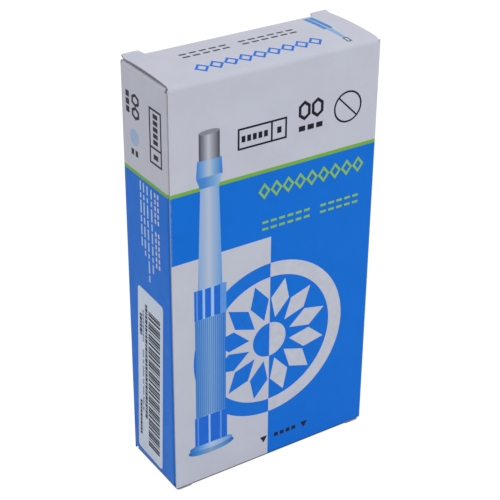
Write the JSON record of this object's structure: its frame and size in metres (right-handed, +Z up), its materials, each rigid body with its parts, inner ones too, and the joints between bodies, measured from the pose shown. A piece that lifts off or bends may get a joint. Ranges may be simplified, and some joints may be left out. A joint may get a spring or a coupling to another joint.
{
  "type": "folding carton",
  "caption": "Upright folding carton of printed board with a hinged tuck-in lid at each end, slit-lock tabs, inner dust flaps, a glued corner seam and a stuck-on side label.",
  "frame": {"origin": "middle of the base, on the outer face of the closed bottom lid", "axes": "+Z up along the carton's height, the printed front wall facing -Y, +X to the right seen from the front"},
  "size_m": [0.0741, 0.0272, 0.1405],
  "materials": {
    "printed_board": "offset print in blue, white and green under a satin varnish",
    "lid_board": "white coated board under a satin varnish",
    "label_paper": "semi-gloss label paper"
  },
  "bodies": {
    "carton": {"carton_body": "printed_board", "side_label": "label_paper"},
    "top_lid": {"top_lid": "lid_board"},
    "bottom_lid": {"bottom_lid": "lid_board"}
  },
  "joints": [
    {"name": "top_lid_hinge", "type": "hinge", "parent": "carton", "child": "top_lid", "pos_m": [0, -0.01302, 0.13947], "axis": [1, 0, 0], "range_deg": [0, 135]},
    {"name": "bottom_lid_hinge", "type": "hinge", "parent": "carton", "child": "bottom_lid", "pos_m": [0, 0.01302, 0.00053], "axis": [1, 0, 0], "range_deg": [0, 135]}
  ]
}
